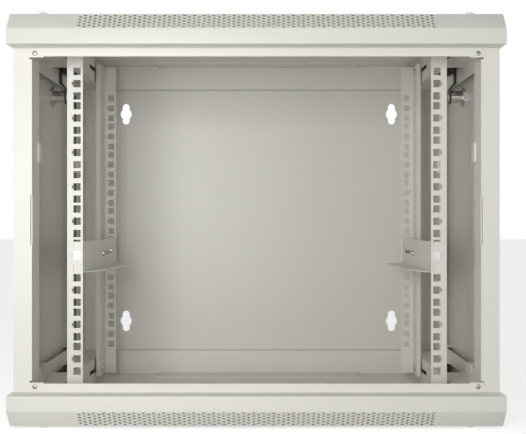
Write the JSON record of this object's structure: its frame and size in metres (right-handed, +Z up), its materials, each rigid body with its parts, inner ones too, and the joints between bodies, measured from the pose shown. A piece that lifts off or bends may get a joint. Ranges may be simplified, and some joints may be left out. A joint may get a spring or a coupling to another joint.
{
  "type": "wall mount network cabinet",
  "caption": "Wall mount network cabinet for 19 inch equipment, light grey sheet steel, open front without a door, vented noses, lockable side panels and adjustable rails.",
  "frame": {"origin": "centre of the bounding box on the plane of the lowest screw heads, under the bottom cover", "axes": "+X to the cabinet's right seen from the front, +Y from the open front to the wall, +Z up"},
  "size_m": [0.6, 0.45, 0.5086],
  "materials": {
    "grey_paint": "matt powder coat",
    "zinc": "zinc plated",
    "dark_steel": "blackened, dull",
    "black_steel": "black zinc, satin",
    "nickel": "nickel plated, polished",
    "cream_plastic": "moulded, satin"
  },
  "bodies": {
    "cabinet": {"back_panel": "grey_paint", "back_panel_screws": "dark_steel", "bottom_cable_plate": "grey_paint", "bottom_cover": "grey_paint", "bottom_cover_screws": "zinc", "bottom_front_bar": "grey_paint", "bottom_left_channel": "grey_paint", "bottom_rear_bar": "grey_paint", "bottom_right_channel": "grey_paint", "cable_plate_screws": "zinc", "corner_screws": "dark_steel", "left_front_upright": "grey_paint", "left_lock_barrel": "nickel", "left_lock_nut": "zinc", "left_panel_clips": "cream_plastic", "left_rear_upright": "grey_paint", "left_side_panel": "grey_paint", "right_front_upright": "grey_paint", "right_lock_barrel": "nickel", "right_lock_nut": "zinc", "right_panel_clips": "cream_plastic", "right_rear_upright": "grey_paint", "right_side_panel": "grey_paint", "top_cable_plate": "grey_paint", "top_cover": "grey_paint", "top_cover_screws": "zinc", "top_front_bar": "grey_paint", "top_left_channel": "grey_paint", "top_rear_bar": "grey_paint", "top_right_channel": "grey_paint"},
    "left_lock": {"left_lock_plug": "nickel", "left_lock_cam": "black_steel", "left_cam_screw": "zinc"},
    "left_front_rail_set": {"left_front_rail": "grey_paint", "left_front_rail_bolts": "zinc", "left_front_rail_nuts": "zinc", "left_bracket_front_half": "grey_paint", "left_bracket_front_fixing": "zinc", "left_bracket_clamp": "zinc"},
    "left_rear_rail_set": {"left_rear_rail": "grey_paint", "left_rear_rail_bolts": "zinc", "left_rear_rail_nuts": "zinc", "left_bracket_rear_half": "grey_paint", "left_bracket_rear_fixing": "zinc"},
    "right_lock": {"right_lock_plug": "nickel", "right_lock_cam": "black_steel", "right_cam_screw": "zinc"},
    "right_front_rail_set": {"right_front_rail": "grey_paint", "right_front_rail_bolts": "zinc", "right_front_rail_nuts": "zinc", "right_bracket_front_half": "grey_paint", "right_bracket_front_fixing": "zinc", "right_bracket_clamp": "zinc"},
    "right_rear_rail_set": {"right_rear_rail": "grey_paint", "right_rear_rail_bolts": "zinc", "right_rear_rail_nuts": "zinc", "right_bracket_rear_half": "grey_paint", "right_bracket_rear_fixing": "zinc"}
  },
  "joints": [
    {"name": "left_lock_turn", "type": "hinge", "parent": "cabinet", "child": "left_lock", "pos_m": [-0.2875, 0.022, 0.4313], "axis": [1, 0, 0], "range_deg": [0, 90]},
    {"name": "left_front_rail_slide", "type": "slide", "parent": "cabinet", "child": "left_front_rail_set", "axis": [0, 1, 0], "range_m": [-0.015, 0.04]},
    {"name": "left_rear_rail_slide", "type": "slide", "parent": "cabinet", "child": "left_rear_rail_set", "axis": [0, 1, 0], "range_m": [-0.06, 0.02]},
    {"name": "right_lock_turn", "type": "hinge", "parent": "cabinet", "child": "right_lock", "pos_m": [0.2875, 0.022, 0.4313], "axis": [1, 0, 0], "range_deg": [0, 90]},
    {"name": "right_front_rail_slide", "type": "slide", "parent": "cabinet", "child": "right_front_rail_set", "axis": [0, 1, 0], "range_m": [-0.015, 0.04]},
    {"name": "right_rear_rail_slide", "type": "slide", "parent": "cabinet", "child": "right_rear_rail_set", "axis": [0, 1, 0], "range_m": [-0.06, 0.02]}
  ]
}
